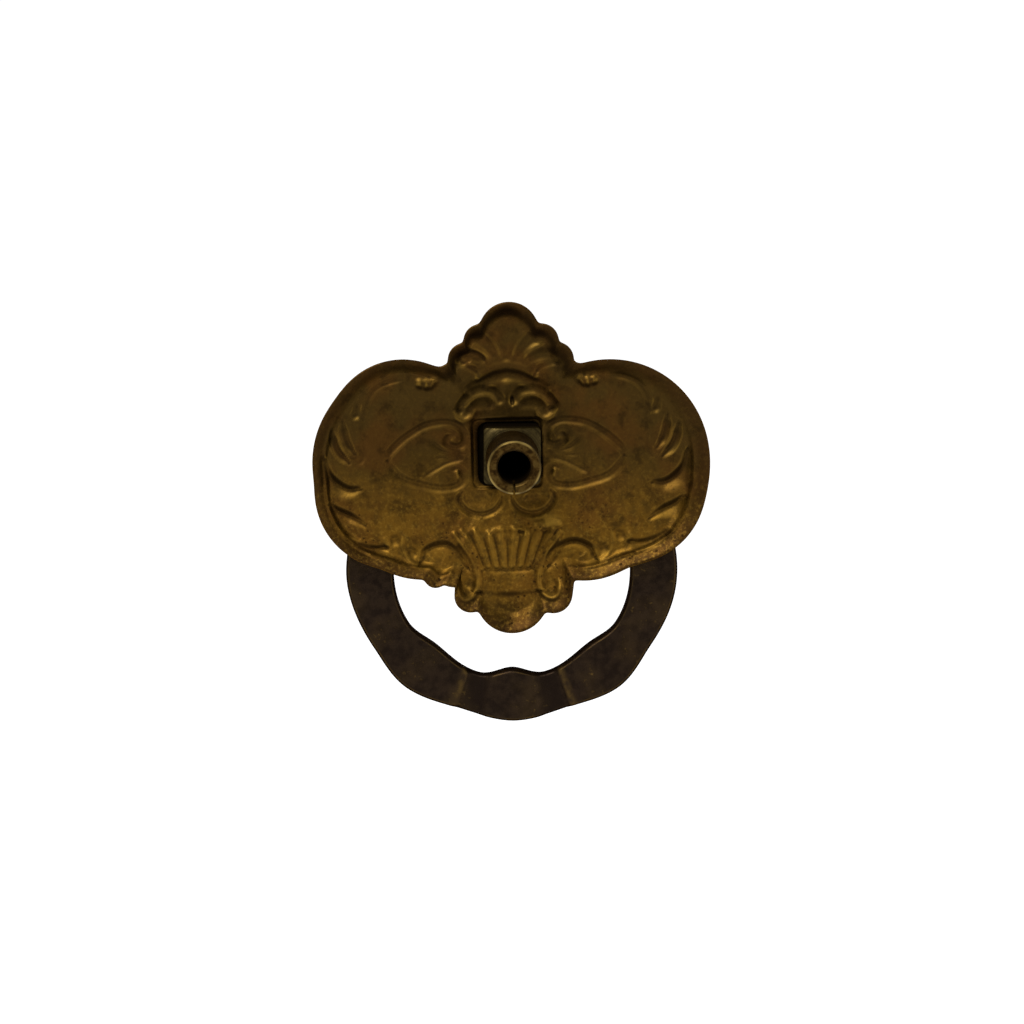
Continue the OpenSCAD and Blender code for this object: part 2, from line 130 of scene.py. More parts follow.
class BailSettings(bpy.types.PropertyGroup):
    ring_width: length("Ring width", 55.1, "Width of the ring, to the middle of its bar")
    ring_height: length("Ring height", 50.0, "Height of the ring, to the middle of its bar")
    thickness: length("Thickness", 5.5, "Thickness of the bar at a lobe")
    slide: length("Slide", 0.25, "How far the bail has slid to the right, seen from behind")
    scoop: length("Scoop", 0.6, "Depth of the scoops in the back beside the bottom lobe")
    bevel: length("Bevel", 0.45, "Bevel along the edges of the bar's back")
    front_bevel: length("Front bevel", 1.65, "Bevel along the edges of the bar's front")
    end_x: length("Ends", 8.5, "Distance of the bar's two ends from the middle")
    pintle_r: length("Pintle radius", 2.1, "Radius of the pintles")
    pintle_tip: length("Pintle tip", 2.6, "Distance of the pintles' tips from the middle")
    pintle_root: length("Pintle root", 10.5, "Distance of the pintles' roots in the bar from the middle")
    bronze: colour("Brown", "1f1710", "Dark brown skin of the casting")
    # The shade colour is also painted shade in the scoops
    shade: colour("Shade", "150f0b", "Blacker patches of the skin")
    worn: colour("Worn", "5f4a24", "Brass that shows where the skin is worn off")


class StageSettings(bpy.types.PropertyGroup):
    floor_drop: length("Floor", 160.0, "How far the floor lies under the post")
    key: FloatProperty(name="Key lamp", description="Power of the large lamp above", default=9.0,
                       unit="POWER")
    fill: FloatProperty(name="Fill lamp", description="Power of the weak lamp at the side", default=2.0,
                        unit="POWER")


# Making meshes

def upright(points):
    """Bench millimetres to the frame's metres"""
    p = np.asarray(points, float)
    return np.stack([-p[:, 0], p[:, 2], p[:, 1]], axis=1) * MM


def new_object(name, verts, faces):
    """An object with a mesh of its own"""
    mesh = bpy.data.meshes.new(name)
    mesh.from_pydata(verts, [], faces)
    item = bpy.data.objects.new(name, mesh)
    bpy.context.scene.collection.objects.link(item)
    return item


def new_piece(name, verts, faces, body, node):
    """A mesh object in place of a solid, riding on its body"""
    piece = new_object(name, verts.tolist(), faces)
    piece.data.validate()
    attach(piece, body)
    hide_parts(node)
    return piece


def face_outwards(mesh):
    """Turns every face of a closed mesh outwards"""
    bm = bmesh.new()
    bm.from_mesh(mesh)
    bmesh.ops.recalc_face_normals(bm, faces=bm.faces)
    bm.to_mesh(mesh)
    bm.free()


def set_smooth(mesh, angle):
    """Smooth shading, with an edge left sharp where it is bent by more than the angle in degrees"""
    mesh.polygons.foreach_set("use_smooth", np.ones(len(mesh.polygons), bool))
    mesh.set_sharp_from_angle(angle=math.radians(angle))


def store(mesh, name, values):
    """Keeps one number a vertex for the material"""
    layer = mesh.attributes.new(name, "FLOAT", "POINT")
    layer.data.foreach_set("value", np.asarray(values, np.float32))


def apply_modifiers(piece):
    """Makes the shape that the modifiers give the piece's own mesh"""
    evaluated = piece.evaluated_get(bpy.context.evaluated_depsgraph_get())
    mesh = bpy.data.meshes.new_from_object(evaluated)
    piece.modifiers.clear()
    piece.data = mesh


def smooth(t):
    t = np.clip(t, 0, 1)
    return t * t * (3 - 2 * t)


def bump(t):
    """A rounded hump, 1 in its middle and 0 from t = 1 on"""
    return np.clip(1 - t * t, 0, None) ** 2


def stitched(counts, closed=True):
    """Faces between rings of points that follow each other and, where they are closed, from the last back
    to the first. Neighbours have as many points, or one has twice as many."""
    starts = np.concatenate([[0], np.cumsum(counts)])
    faces = []
    for k in range(len(counts) if closed else len(counts) - 1):
        m = (k + 1) % len(counts)
        a, b, n, p = int(starts[k]), int(starts[m]), counts[k], counts[m]
        for i in range(min(n, p)):
            j = (i + 1) % min(n, p)
            if n == p:
                faces.append((a + i, b + i, b + j, a + j))
            elif n < p:
                faces += [(a + i, b + 2 * i, b + 2 * i + 1), (a + i, b + 2 * i + 1, a + j),
                          (a + j, b + 2 * i + 1, b + (2 * i + 2) % p)]
            else:
                faces += [(a + 2 * i, b + i, a + 2 * i + 1), (a + 2 * i + 1, b + i, b + j),
                          (a + 2 * i + 1, b + j, a + (2 * i + 2) % n)]
    return faces


def capped(rings, n):
    """Faces of a solid of equal rings of n points, with a cap on its first and its last ring"""
    last = (rings - 1) * n
    return stitched([n] * rings, closed=False) + [tuple(range(n)), tuple(range(last, last + n))]


# The backplate's plan

# The edge is a blend of these circles: across, up, radius
EDGE_CIRCLES = np.array([
    # crest
    (0.55, 23.6, 5.75), (-5.1, 22.1, 3.05), (-8.1, 18.5, 3.15), (6.8, 21.8, 3.25), (9.8, 18.3, 3.05),
    (0.4, 13.4, 10.5), (-11, 15.6, 2.1), (-13.3, 13.9, 3), (12.3, 15.2, 2.35),
    # side lobes
    (-20.2, 4.5, 14.3), (-19.3, -1, 18.4), (-22.5, -6.7, 14.9), (-17, -9.4, 14.4),
    (19.4, -1.2, 19.1), (19.1, -3.2, 19.4), (23.6, -7.4, 14), (14.4, -10.2, 14.6),
    # bottom
    (-14.6, -23.4, 2.1), (-11.4, -23.2, 2.2), (0.4, -16.5, 12), (-7.9, -27.3, 3.15),
    (0.1, -27.7, 7), (8.1, -27.4, 3.6), (8.6, -25.2, 3.4)])
EDGE_BLEND = 0.35
# Middle of the seat, and of the hole, which is pierced a little off it
SEAT_AT, HOLE_AT = np.array([-0.26, -0.25]), np.array([0.29, -0.35])
# A painted glint, a highlight to the right above the shell: where it lies, how far it reaches to each side,
# and how much it adds to the wear mark
GLINT_AT, GLINT_SIZE, GLINT_STRENGTH = np.array([7.2, -13.3]), np.array([4.6, 2.0]), 0.22
# Width of the step from the field down to the seat, and the seat's corner radius
SEAT_STEP, SEAT_CORNER = 0.8, 1.1
# Height of the bead on the rim's wall, how far it lies inside the edge, and its half width
BEAD_HEIGHT, BEAD_IN, BEAD_HALF = 0.42, 2.7, 0.55
# The numbers that every point of the plate keeps for its material
MARKS = ("wear_and_shading", "under", "rim", "soil_and_shade")
# Crowds the rays towards the crest and the bottom, and keeps one on each corner of the square seat
SPOKE_WARP = 5.734
SPOKES = 704
# Distances between which the edge, and the seat and its hole, are looked for along each ray
EDGE_LIMITS, SEAT_LIMITS = (12, 48), (2, 14)
# How many rays on either side even out the rim's foot where the edge is notched
FOOT_SPREAD = 14
# Rings of points in the field, on either side of the sheet
BACK_RINGS, FRONT_RINGS = 88, 56


def search(holds, way, limits, steps=26):
    """How far along every ray, from the seat's middle, a test of points holds, by halving"""
    low, high = (np.full(SPOKES, float(limit)) for limit in limits)
    for _ in range(steps):
        middle = (low + high) / 2
        short = holds(middle[:, None] * way)
        low, high = np.where(short, middle, low), np.where(short, high, middle)
    return (low + high) / 2


def inside_edge(p):
    """Distance inside the blended edge"""
    gap = EDGE_CIRCLES[:, 2] - np.hypot(p[:, :1] - EDGE_CIRCLES[:, 0], p[:, 1:2] - EDGE_CIRCLES[:, 1])
    return EDGE_BLEND * np.logaddexp.reduce(gap / EDGE_BLEND, axis=1)


def square_gap(p, half, radius):
    """Distance outside a rounded square about the origin"""
    q = np.abs(p) - half + radius
    return np.linalg.norm(np.clip(q, 0, None), axis=1) + np.minimum(q.max(axis=1), 0) - radius


def turned(p, angle):
    c, s = math.cos(angle), math.sin(angle)
    return np.stack([p[:, 0] * c - p[:, 1] * s, p[:, 0] * s + p[:, 1] * c], axis=1)


# The ornament, seen from the plate's back, where most of it is sunk. Each stroke is a height towards the
# drawer, a half width, and the points of its middle line, where a third number is the half width there.
# These are on both sides of the stamping, given for the right.
STROKES = [
    # leaf panels beside the post: dish, outline with its curl, veins
    (-.3, 1, (8.5, 0, 3.5), (12, 0, 5.2), (16, -.5, 4.3), (20, -1, 2.2), (22, -1.3, .8)),
    (-.3, .85, (22.8, -1), (22.2, .6), (20.3, 2.5), (18.7, 3.7), (16.5, 5), (15, 5.6), (13, 5.95),
     (11.2, 5.95), (9.8, 5.6), (8.7, 4.9), (8.1, 3.9), (7.9, 2.8), (8.1, 1.9), (8.8, 1.3), (9.8, 1.15),
     (10.8, 1.5), (11.3, 2.3), (10.9, 3.2), (10, 3.5)),
    (-.3, .85, (22.8, -1), (22.4, -2), (21.5, -3.3), (20.3, -4.5), (18.5, -5.4), (16.5, -5.95),
     (14.5, -6.5), (12.5, -6.8), (10.7, -6.7), (9.4, -6.4), (8.5, -5.7), (8.2, -4.7), (8.4, -3.6),
     (9.1, -2.9), (10, -3.1)),
    (-.12, .35, (12, 4.7), (10.3, 4.4), (9.4, 3.8), (9, 3), (9.2, 2.3)),
    (.16, .5, (9.4, -3.7), (9.3, -4.6)),
    (-.2, .5, (14.6, 2.5), (13.7, 1.7), (12.8, .9), (11.5, .35), (10, 0), (7.8, -.15)),
    (-.13, .36, (14, -.7), (11.5, -.75), (8, -.8)),
    (-.2, .5, (15.9, -4.3), (14.3, -3.3), (12.8, -2.5), (11.5, -1.85), (10.2, -1.5), (8.5, -1.3)),
    # scrolls and heart above the post
    (-.4, 1, (1.5, 10.2), (1.9, 11), (2.7, 11.8), (4.2, 12.15), (5.6, 12), (7, 11.4), (8.1, 10.4),
     (8.8, 9.3), (8.9, 8.4)),
    (-.25, 1, (3.2, 9.2, 1), (5.2, 9.4, 1.4), (7, 8.7, 1.1)),
    (-.25, 1, (7.5, 7.7, 1.2), (8.4, 7.7, 1.2)),
    (.16, .6, (5.9, 8.1), (6.5, 6.9), (7.8, 6.3), (9.1, 6.9), (9.9, 8)),
    (.22, 1, (0, 13, 1.3), (.1, 12.2, 1.1), (.2, 10.9, .6)),
    # arch, sunk band and leaves under the crest
    (.22, 1, (0, 16.9, 1.1), (2.4, 16.5, 1.1), (4.2, 15.6, 1), (5.6, 14.7, .8)),
    (-.3, 1, (0, 14.9, 1.2), (2.5, 14.5, 1.2), (4.5, 13.6, 1.2), (6.2, 13.1, 1.1), (7.5, 12.4, .8)),
    (-.2, .6, (5.4, 15), (6.2, 16.2), (7.4, 16.9), (9, 17.2), (10, 17)),
    # flutes of the crest and the ribs between them
    (-.5, 1, (0, 18.6, .9), (0, 21, 1.6), (0, 23.5, 2.7), (.1, 25.8, 3.2)),
    (-.4, 1, (2.5, 19, .7), (3.6, 20.4, 1.1), (4.9, 21.5, 1.5), (6.3, 22.6, 1.7)),
    (-.4, 1, (4.8, 18, .8), (6.6, 18.7, 1.3), (8.4, 18.7, 1.5)),
    (.12, .5, (1.2, 18.2), (1.4, 19.6), (2.1, 21.2), (3.2, 22.7), (4.3, 23.7)),
    (.12, .5, (3.2, 17.8), (3.9, 19.1), (5, 20.2), (6.6, 20.8), (8, 21)),
    # ovals under the post
    (-.15, 1, (3.4, -9.4, 1), (5, -9.5, 1.3), (6.8, -9.3, 1)),
    (-.34, .6, (.9, -8.7), (1.2, -10), (2.2, -11.2), (3.6, -11.9), (5, -12.1), (6.6, -11.8), (8, -11),
     (9, -9.8), (9.2, -8.6), (8.6, -7.6)),
    (.15, .4, (4.6, -7.9), (3.6, -8.3), (3.4, -9), (4.1, -9.3)),
    # shell of upright flutes between two scrolls
    (.45, 1, (1.3, -15.2, .6), (1.3, -16.8, .95), (.95, -19, .8), (.7, -22, .6)),
    (.4, 1, (3.7, -15.4, .5), (3.4, -17, .8), (2.9, -19.2, .7), (2.3, -22, .5)),
    (.45, 1, (6.3, -14.9, .5), (5.7, -16.6, .9), (4.8, -19, .8), (3.9, -22, .5)),
    (.4, 1, (8.8, -15, .5), (7.9, -16.4, .85), (6.5, -19, .7), (5.2, -22.2, .4)),
    (.45, .75, (10.3, -15.4), (9.4, -16.6), (8.2, -18.2), (7.1, -19.9), (6.4, -21.6), (6, -23.2),
     (5.9, -25), (6.3, -26.5), (7.2, -27.6), (8.4, -28), (9.4, -27.4), (9.8, -26), (9.7, -24.8)),
    (.2, .4, (0, -14.6), (1.5, -14.7), (2.7, -15.2), (3.4, -15.9)),
    # pads beside the shell, band and bottom lobe
    (-.25, 1, (10, -21, 1.5), (13, -20.4, 2), (15.5, -20.8, 1.6)),
    (-.16, .5, (0, -22.8), (2.6, -22.7), (5, -22.5)),
    (-.3, 1, (7.9, -25.3, 1.3), (8.3, -25, 1.2)),
    (-.25, 1, (0, -29.6, 3.4), (.2, -29.8, 3.4)),
    # leaf clumps beside the pads
    (.22, .5, (20, -15.2), (20.4, -17), (20, -18.8), (18.8, -20.4), (17.2, -21.4)),
    (-.35, 1, (22, -16.5, 1.2), (21.6, -16.4, 1.2)),
    (-.35, 1, (18.6, -18.7, 1.1), (18.2, -18.9, 1.1)),
    (.2, 1, (23.6, -16.3, .8), (23.3, -16.9, .8)),
    # ribs of the upper leaves along the sides
    (-.45, .8, (31.3, 6.8), (31, 4.4), (30.3, 2.2), (29.2, .5)),
    (-.5, .8, (33.4, 5), (32.9, 2.4), (31.9, .4), (30.2, -1.2)),
    (-.2, .7, (27.4, 3.2), (27.3, 1), (27.8, -.8), (29, -1.4)),
    # line that sweeps to the upper corners, with its hook
    (-.2, .6, (20, 14.7), (22.5, 14.3), (25, 13.2), (26.4, 11.6), (27.2, 9.6), (27.4, 7.8), (27.1, 6.2)),
    (-.4, 1, (28.9, 9.6, .6), (28.8, 8.1, 1)),
    # corner flowers
    (.6, 1, (14, 14.3, .9), (15.2, 13.7, 1.3), (16.8, 13.9, 1.1)),
    (-.2, .4, (14.8, 14.9), (15, 13.1)),
    (-.2, .4, (16, 14.7), (16.1, 12.9)),
]
# These are on one side only, given where they lie
SINGLE_STROKES = [
    # curl in the crest's left lobe
    (-.2, .4, (-3.9, 17.6), (-4.6, 18.6), (-5.8, 19.4), (-7.4, 19.6), (-8.7, 19.1), (-9, 18.2),
     (-8.3, 17.7), (-7.2, 17.9)),
    # dents under the heart and in the shell's cap
    (-.4, .5, (.95, 10.2), (.95, 9.3)),
    (-.35, .6, (1.9, -15.4), (2.5, -15.5)),
    # leaf within the left side's lowest one, and the right pad's second line
    (-.3, 1, (-32.3, -12.8, .8), (-30.6, -14.2, 1), (-29.2, -15.4, .7)),
    (-.15, .45, (7, -20.6), (8, -19.2), (9.6, -18.2), (12, -17.7), (14.3, -18.2), (15.6, -19.6),
     (15.7, -21)),
    # dent that catches the light, to the right above the shell
    (.4, 1, (5.2, -14.2, .8), (7, -14.1, 1.2), (9.4, -14, .8)),
]
# Scarps: the sheet drops on the left of the line, and rises again over the width given at each point
SCARPS = [
    (1, (34.7, -.4, .8), (33.9, -2.9, 1.6), (32.4, -4.7, 2.4), (30.5, -5.9, 1.8), (28.5, -6.1, .7)),
    (.85, (33.9, -9, .7), (32.3, -10.1, 1.7), (30.4, -11, 1.9), (28.8, -12, 1.1), (27.5, -13.1, .5)),
    (.7, (30.7, -15.8, .6), (28.3, -17, 1.3), (26.2, -17.6, 1.5), (23.7, -17.6, .8)),
    (.8, (17, -20.2, 1.2), (16.2, -18.4, 1.9), (14, -17.3, 2.4), (11.8, -17.2, 2.4), (10.2, -18.1, 2),
     (8.9, -19.8, 1.5), (7.9, -21.6, .9)),
    # sunk band under the shell
    (-.4, (-1, -27.3, 3.2), (2, -27.2, 3.2), (4.6, -26.9, 2.8)),
]
# Where the stamping's axis of symmetry lies across, and the heights between which it leans over to the
# crest's
AXIS_X, AXIS_FROM, AXIS_TO = -0.5, 7, 10


def drawn_line(points, half_width, steps=5):
    """A smooth line through given points, as rows of x, y and half width"""
    p = np.array([(*q[:2], q[2] if len(q) > 2 else half_width) for q in points], float)
    p = np.vstack([2 * p[0] - p[1], p, 2 * p[-1] - p[-2]])
    t = np.linspace(0, 1, steps, endpoint=False)[:, None]
    rows = []
    for a, b, c, d in zip(p[:-3], p[1:-2], p[2:-1], p[3:]):
        rows.append((2 * b + (c - a) * t + (2 * a - 5 * b + 4 * c - d) * t ** 2
                     + (3 * b - a - 3 * c + d) * t ** 3) / 2)
    line = np.vstack(rows + [p[-2:-1]])
    # A narrow stroke thins out towards its two ends
    if half_width < 1:
        far = np.concatenate([[0], np.cumsum(np.linalg.norm(np.diff(line[:, :2], axis=0), axis=1))])
        line[:, 2] *= 0.45 + 0.55 * smooth(np.minimum(far, far[-1] - far) / (2.5 * half_width))
    return line


def line_gap(q, line):
    """Distance of points from a line, signed where they lie to its left, and its width at the nearest"""
    best, width, left = np.full(len(q), 1e9), np.ones(len(q)), np.zeros(len(q), bool)
    for a, b in zip(line[:-1], line[1:]):
        ab, aq = b[:2] - a[:2], q - a[:2]
        s = np.clip(aq @ ab / (ab @ ab), 0, 1)
        gap = np.linalg.norm(aq - s[:, None] * ab, axis=1)
        near = gap < best
        best[near] = gap[near]
        width[near] = (a[2] + (b[2] - a[2]) * s)[near]
        left[near] = (ab[0] * aq[:, 1] - ab[1] * aq[:, 0])[near] > 0
    return best, width, left


# Share of the strokes' height that the worn sheet keeps, and how much it has rounded them
RELIEF_SHARE, RELIEF_SOFT = 1.05, 0.28
RELIEF = ([(h, drawn_line(points, w), True) for h, w, *points in STROKES]
          + [(h, drawn_line(points, w), False) for h, w, *points in SINGLE_STROKES])
SCARP_LINES = [(h, drawn_line(points, 1)) for h, *points in SCARPS]


def around(p, line, margin):
    """Indices of the points that lie in a line's box or within a margin of it"""
    low, high = line[:, :2].min(axis=0) - margin, line[:, :2].max(axis=0) + margin
    return np.flatnonzero(((p > low) & (p < high)).all(axis=1))


def relief(p, swell):
    """Height of the ornament at points of the plan. swell widens every stroke. Where a stroke is narrow it
    is low, too."""
    axis = AXIS_X * (1 - smooth((p[:, 1] - AXIS_FROM) / (AXIS_TO - AXIS_FROM)))
    both = np.stack([np.abs(p[:, 0] - axis), p[:, 1]], axis=1)
    height = np.zeros(len(p))
    for h, line, mirrored in RELIEF:
        q = both if mirrored else p
        near = around(q, line, line[:, 2].max() + swell)
        if len(near):
            gap, width, _ = line_gap(q[near], line)
            height[near] += h * bump(gap / (width + swell)) * width / line[:, 2].max()
    for h, line in SCARP_LINES:
        near = around(both, line, 3 * line[:, 2].max())
        gap, width, left = line_gap(both[near], line)
        fade = smooth((np.where(left, gap, -gap) + 0.5 + swell) / (1.1 + 2 * swell))
        share = np.sqrt(width / line[:, 2].max())
        height[near] -= h * share * fade * np.exp(-(gap / width) ** 2)
    return height * RELIEF_SHARE


def waviness(p):
    """The shallow unevenness of old thin sheet"""
    u, v = p[:, 0], p[:, 1]
    return (0.07 * np.sin(0.42 * u + 0.23 * v + 1) * np.cos(0.31 * v - 0.12 * u)
            + 0.03 * np.sin(0.9 * v + 0.5 * u) + 0.014 * np.sin(1.7 * u - 1.1 * v + 2))


def plate_rays(sizes):
    """For every ray: its direction, its unit towards the edge, and how far the hole, seat, foot, land and
    edge lie along it"""
    a = np.arange(SPOKES) * 2 * math.pi / SPOKES
    a = a + math.radians(SPOKE_WARP) * np.sin(2 * a)
    way = np.stack([np.cos(a), np.sin(a)], axis=1)
    reach = search(lambda p: inside_edge(SEAT_AT + p) > 0, way, EDGE_LIMITS)
    half, corner = sizes["hole"] / 2, sizes["hole_corner"]
    hole = search(lambda p: square_gap(SEAT_AT + p - HOLE_AT, half, corner) < 0, way, SEAT_LIMITS)
    half += sizes["seat_ledge"]
    seat = search(lambda p: square_gap(p, half, SEAT_CORNER) < 0, way, SEAT_LIMITS)
    edge = SEAT_AT + reach[:, None] * way
    along = np.roll(edge, -3, axis=0) - np.roll(edge, 3, axis=0)
    normal = np.stack([along[:, 1], -along[:, 0]], axis=1) / np.linalg.norm(along, axis=1)[:, None]
    # The rim is narrower round the crest and the bottom lobe
    up = edge[:, 1]
    narrower = 0.6 * smooth((up - 15) / 3) + 0.3 * smooth((-23 - up) / 3)
    width = sizes["rim_width"] - narrower + sizes["rim_shift"] * normal[:, 0]
    foot = 1 - width / np.maximum(0.55, (normal * way).sum(axis=1)) / reach
    spread = range(-FOOT_SPREAD, FOOT_SPREAD + 1)
    foot = sum(np.roll(foot, k) for k in spread) / len(spread) * reach
    land = reach - np.minimum(sizes["land"], 0.4 * (reach - foot))
    return way, hole, seat, foot, land, reach


def sheet_side(sizes, rays, rings, front):
    """The points of one side of the sheet, ring by ring from the hole to the edge, each with its marks:
    wear with a painted glint and crease shade, how far it faces down for painted shade and light, place on
    the rim, soil with painted shade. rings is how many rings the field has."""
    way, hole, seat, foot, land, reach = rays
    field_z = lambda t: -sizes["rim_depth"] - sizes["bowl"] * (1 - smooth(t))
    seat_z = field_z(0) - sizes["seat_depth"]
    swell = RELIEF_SOFT + (0.15 if front else 0)
    # The inner rings have half as many points, and so has the whole front
    coarse = rings // 2
    points, marks = [], []

    def ring(r, z, share=0.0, on_rim=0.0, soil_and_shade=0.0):
        """Adds one ring. share is how much of the ornament it shows."""
        every = 2 if front or len(points) < coarse else 1
        p = (SEAT_AT + r[:, None] * way)[::every]
        level = z[::every] if np.ndim(z) else np.full(len(p), z)
        height = wear_and_shading = np.zeros(len(p))
        # Painted shade: the rim's wall on the upper half faces down, and counts as facing down
        under = 0.4 * bump(2 * on_rim - 1) * np.clip(way[::every, 1], 0, None)
        if share:
            height = relief(p, swell)
            beside = [relief(p + np.array(d), swell) for d in ((0, .5), (0, -.5), (.5, 0), (-.5, 0))]
            # The glint is a painted highlight, put into the wear mark
            rubbed_and_lit = bump(np.hypot(*((p - GLINT_AT) / GLINT_SIZE).T))
            wear_and_shading = share * (height - sum(beside) / 4) + GLINT_STRENGTH * rubbed_and_lit
            # How far the ornament faces down, from which the material paints shade on what faces down and
            # light on what faces up
            under = under + share * (beside[0] - beside[1])
        level = level + share * (height + waviness(p)) - (sizes["sheet"] if front else 0)
        points.append(np.column_stack([p, level]))
        marks.append(np.column_stack([wear_and_shading, -under if front else under, np.full(len(p), on_rim),
                                      np.full(len(p), soil_and_shade)]))

    soft = 0.12
    # soil paints dirt and painted shade at the hole's edge and on the seat's step
    ring(hole, seat_z - (0 if front else soft), soil_and_shade=1)
    ring(hole + soft, seat_z + (soft if front else 0), soil_and_shade=0.7)
    for t in (0, 0.2, 0.4, 0.6, 0.8, 1):
        level = seat_z + sizes["seat_depth"] * smooth(t)
        ring(seat + SEAT_STEP * (t - 0.5), level, 0.3 * t, soil_and_shade=0.45 - abs(t - 0.4))
    start = seat + SEAT_STEP / 2
    for t in np.arange(1, rings + 1) / rings:
        ring(start + t * (foot - start), field_z(t), 1.0)
    # The wall swings up from the field to the land with a thin bead on its lower half, and the ornament
    # runs out on it
    bead = BEAD_HEIGHT * smooth(0.6 - 1.5 * way[:, 1]) * smooth(2.5 * np.abs(way[:, 0]) - 0.8)
    for t in np.linspace(0.08, 1, 13):
        r = foot + t * (land - foot)
        wall = -sizes["rim_depth"] * (1 - 0.65 * t - 0.35 * smooth(t))
        level = wall + bead * bump((reach - r - BEAD_IN - 0.3 * way[:, 0]) / BEAD_HALF)
        ring(r, level, 1 - smooth(1.5 * t - 0.5), t)
    ring(reach - soft, 0.0, on_rim=1.5)
    ring(reach, soft if front else -soft, on_rim=2)
    return points, marks


def plate_mesh(sizes, turn):
    """Points, faces and marks of the whole sheet, on the bench"""
    rays = plate_rays(sizes)
    back, back_marks = sheet_side(sizes, rays, BACK_RINGS, False)
    front, front_marks = sheet_side(sizes, rays, FRONT_RINGS, True)
    rings = back + front[::-1]
    points = np.vstack(rings)
    points[:, :2] = turned(points[:, :2], turn)
    return points, stitched([len(r) for r in rings]), np.vstack(back_marks + front_marks[::-1])


def fitted(points, node):
    """The points moved and scaled a little, so that their box is the node's"""
    low, high = (np.array(corner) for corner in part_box(node))
    size = points.max(axis=0) - points.min(axis=0)
    return low + (points - points.min(axis=0)) * (high - low) / size


# Materials

# The kinds of node that the materials use most, and the settings that many of them share
ATTRIBUTE, NOISE, RANGE = "ShaderNodeAttribute", "ShaderNodeTexNoise", "ShaderNodeMapRange"
MATHS, MIX = "ShaderNodeMath", "ShaderNodeMix"
SOFT = {"interpolation_type": "SMOOTHSTEP"}
TIMES, TIMES_PLUS, LARGER = ({"operation": name} for name in ("MULTIPLY", "MULTIPLY_ADD", "MAXIMUM"))


def add(tree, kind, links=(), **settings):
    """Adds a node with its settings. links gives its inputs, by name or in their order: a node, of which
    the first output is taken, a socket or a plain value."""
    node = tree.nodes.new(kind)
    for name, value in settings.items():
        setattr(node, name, value)
    for name, value in (links.items() if isinstance(links, dict) else enumerate(links)):
        if isinstance(value, bpy.types.Node):
            value = next(socket for socket in value.outputs if socket.enabled)
        if isinstance(value, bpy.types.NodeSocket):
            tree.links.new(value, node.inputs[name])
        else:
            node.inputs[name].default_value = value
    return node


def new_material(name):
    """An empty node material and its tree"""
    material = bpy.data.materials.new(name)
    material.use_nodes = True
    material.node_tree.nodes.clear()
    return material, material.node_tree


def opaque(rgb):
    return (*rgb, 1)


def shade_metal(tree, base, layers, rough, uneven, strength, depth_mm, tint=(1, 1, 1)):
    """Ends a metal's tree. Each layer is a share and a colour, and lies over those before it."""
    skin = opaque(base)
    for share, finish in layers:
        skin = add(tree, MIX, {"Factor": share, "A": skin, "B": opaque(finish)}, data_type="RGBA")
    fine = add(tree, "ShaderNodeBump", {"Height": uneven, "Strength": strength, "Distance": depth_mm * MM})
    shader = add(tree, "ShaderNodeBsdfPrincipled", {
        "Base Color": skin, "Roughness": rough, "Normal": fine, "Metallic": 1.0,
        "Specular Tint": opaque(tint)})
    add(tree, "ShaderNodeOutputMaterial", [shader])


# The oxide on the plate and the bail mirrors little at a grazing angle
DULL_EDGE = linear("6b5844")


